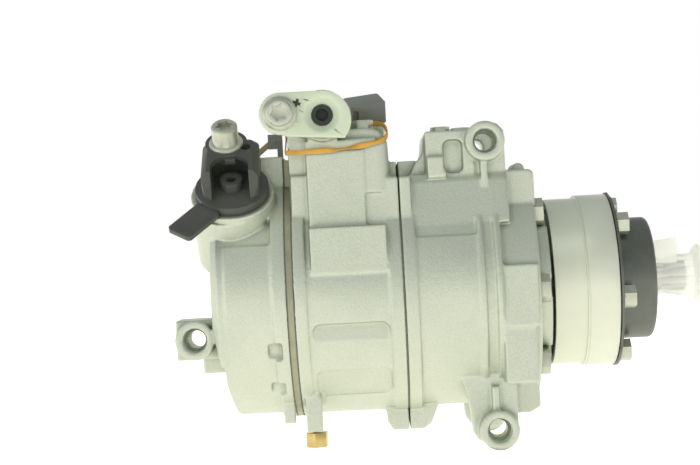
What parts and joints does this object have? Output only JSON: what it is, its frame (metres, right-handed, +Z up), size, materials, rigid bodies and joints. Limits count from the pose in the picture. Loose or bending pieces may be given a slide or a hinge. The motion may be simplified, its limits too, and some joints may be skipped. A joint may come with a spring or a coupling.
{
  "type": "automotive air conditioning compressor",
  "caption": "Swash plate refrigerant compressor for a vehicle, with a shaft-driven damper coupling, split mounting lugs, a control valve and shipping caps on its ports.",
  "frame": {"origin": "on the shaft's axis, at the front face of the drive hub where the engine's drive sleeve seats", "axes": "+X along the shaft, out of the drive end; +Z up, towards the upper front lug; the ports face -Y and up"},
  "size_m": [0.2669, 0.1347, 0.181],
  "materials": {
    "cast_alloy": "as-cast, matt, pressure die casting",
    "plate_steel": "ground steel edge, slightly tanned",
    "gasket": "coated gasket, matt black",
    "machined_steel": "turned and ground",
    "zinc_bolt": "pale zinc plate, dull",
    "piston_alloy": "machined",
    "drum_steel": "pale grey-green coat, satin",
    "charcoal_steel": "black coat, satin",
    "damper_rubber": "matt",
    "milky_plastic": "translucent white polyethylene",
    "film_plastic": "thin translucent white",
    "charcoal_plastic": "charcoal, fine grain",
    "dark_rubber": "matt black",
    "connector_grey": "mid grey moulding",
    "contact_tin": "tinned",
    "relief_brass": "bright gold-coloured plate",
    "tan_strap": "tan strap, matt",
    "band_orange": "flat elastic band"
  },
  "bodies": {
    "housing": {"front_housing": "cast_alloy", "cylinder_block": "cast_alloy", "rear_housing": "cast_alloy", "head_gasket_rear": "gasket", "head_gasket_front": "gasket", "case_gasket": "gasket", "valve_plate": "plate_steel", "discharge_reed": "machined_steel", "suction_reeds": "machined_steel", "reed_stop": "machined_steel", "reed_rivet": "machined_steel", "through_bolts": "zinc_bolt", "pistons": "piston_alloy", "piston_shoes": "machined_steel", "rear_needle_bearing": "machined_steel", "front_needle_bearing": "machined_steel", "front_thrust_bearing": "machined_steel", "shaft_seal": "dark_rubber", "seal_retaining_ring": "machined_steel", "control_valve_cartridge": "machined_steel", "control_valve_plunger": "machined_steel", "control_valve_spring": "machined_steel", "control_valve_coil_can": "zinc_bolt", "control_valve_socket": "connector_grey", "control_valve_seal_rings": "dark_rubber", "control_valve_washer": "machined_steel", "control_valve_pins": "contact_tin", "relief_valve_body": "relief_brass", "relief_valve_ball": "machined_steel", "relief_valve_spring": "machined_steel", "relief_valve_stop": "relief_brass", "housing_plug": "zinc_bolt", "tower_plug": "zinc_bolt", "rubber_band": "band_orange", "tie_clip": "connector_grey", "tie_strap": "tan_strap"},
    "rotor": {"shaft": "machined_steel", "lug_plate": "machined_steel", "swash_plate": "machined_steel", "hinge_pin": "machined_steel", "swash_spring": "machined_steel", "damper_drum": "drum_steel", "damper_rubber": "damper_rubber", "damper_sleeve": "machined_steel", "shaft_nut": "zinc_bolt", "drive_plate": "charcoal_steel", "plate_bolts": "zinc_bolt", "drive_hub": "charcoal_steel", "spline_stub": "machined_steel"},
    "shaft_cap": {"shaft_cap": "film_plastic"},
    "suction_cap": {"suction_cap": "milky_plastic", "suction_plug": "dark_rubber", "suction_cap_bolt": "zinc_bolt"},
    "discharge_cap": {"discharge_cap": "charcoal_plastic", "discharge_cap_bolt": "zinc_bolt"}
  },
  "joints": [
    {"name": "shaft_spin", "type": "hinge", "parent": "housing", "child": "rotor", "pos_m": [0, 0, 0], "axis": [1, 0, 0], "continuous": true},
    {"name": "shaft_cap_pull", "type": "slide", "parent": "rotor", "child": "shaft_cap", "axis": [1, 0, 0], "range_m": [0, 0.03]},
    {"name": "suction_cap_pull", "type": "slide", "parent": "housing", "child": "suction_cap", "axis": [0, -1, 0], "range_m": [0, 0.04]},
    {"name": "discharge_cap_pull", "type": "slide", "parent": "housing", "child": "discharge_cap", "axis": [0, -0.6293, 0.7771], "range_m": [0, 0.03]}
  ]
}
